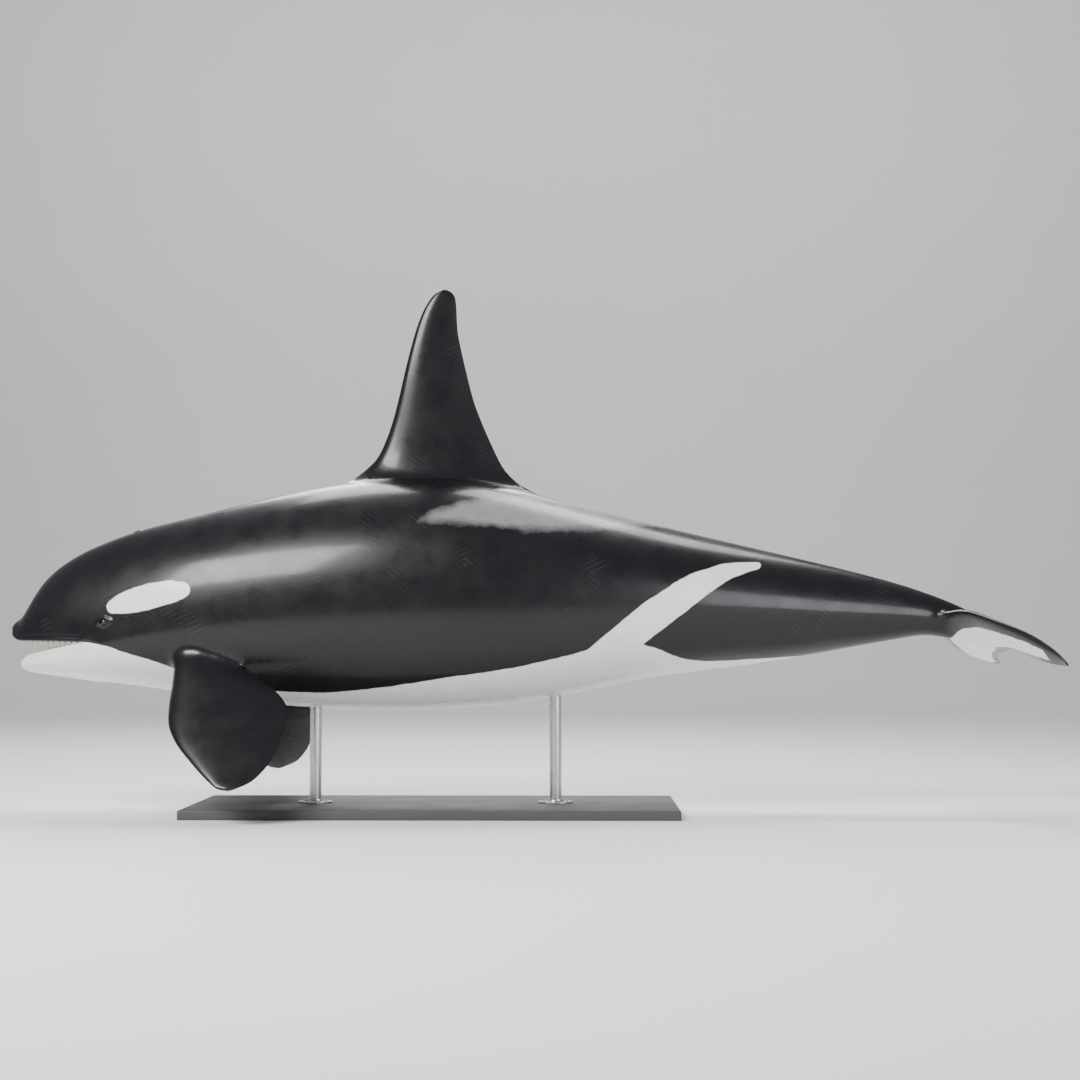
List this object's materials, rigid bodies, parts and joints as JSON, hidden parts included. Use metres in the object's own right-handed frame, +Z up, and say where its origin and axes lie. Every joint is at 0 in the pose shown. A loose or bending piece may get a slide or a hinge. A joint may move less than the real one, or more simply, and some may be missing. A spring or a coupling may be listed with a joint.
{
  "type": "life-size orca model on a display stand",
  "caption": "Life-size orca, mouth slightly open, tall dorsal fin and broad paddle flippers, held over a flat display base by short rods.",
  "frame": {"origin": "on the underside of the stand's base, under the middle of the whole object's length and width", "axes": "+Z up, +X from snout to flukes, +Y towards the animal's right side"},
  "size_m": [7.6742, 2.6116, 3.9421],
  "materials": {
    "skin": "satin smooth skin",
    "eye": "wet gloss",
    "tongue": "moist satin",
    "base": "matt painted",
    "rod": "brushed"
  },
  "bodies": {
    "root": {"head": "skin", "lower_jaw": "skin", "tongue": "tongue", "eye_left": "eye", "eye_right": "eye", "chest": "skin", "midbody": "skin", "hindbody": "skin", "tail_stock": "skin", "dorsal_fin": "skin", "flipper_left": "skin", "flipper_right": "skin", "fluke_left": "skin", "fluke_right": "skin", "stand_base": "base", "stand_rod_front": "rod", "stand_rod_rear": "rod", "stand_collar_front": "rod", "stand_collar_rear": "rod"}
  },
  "joints": []
}
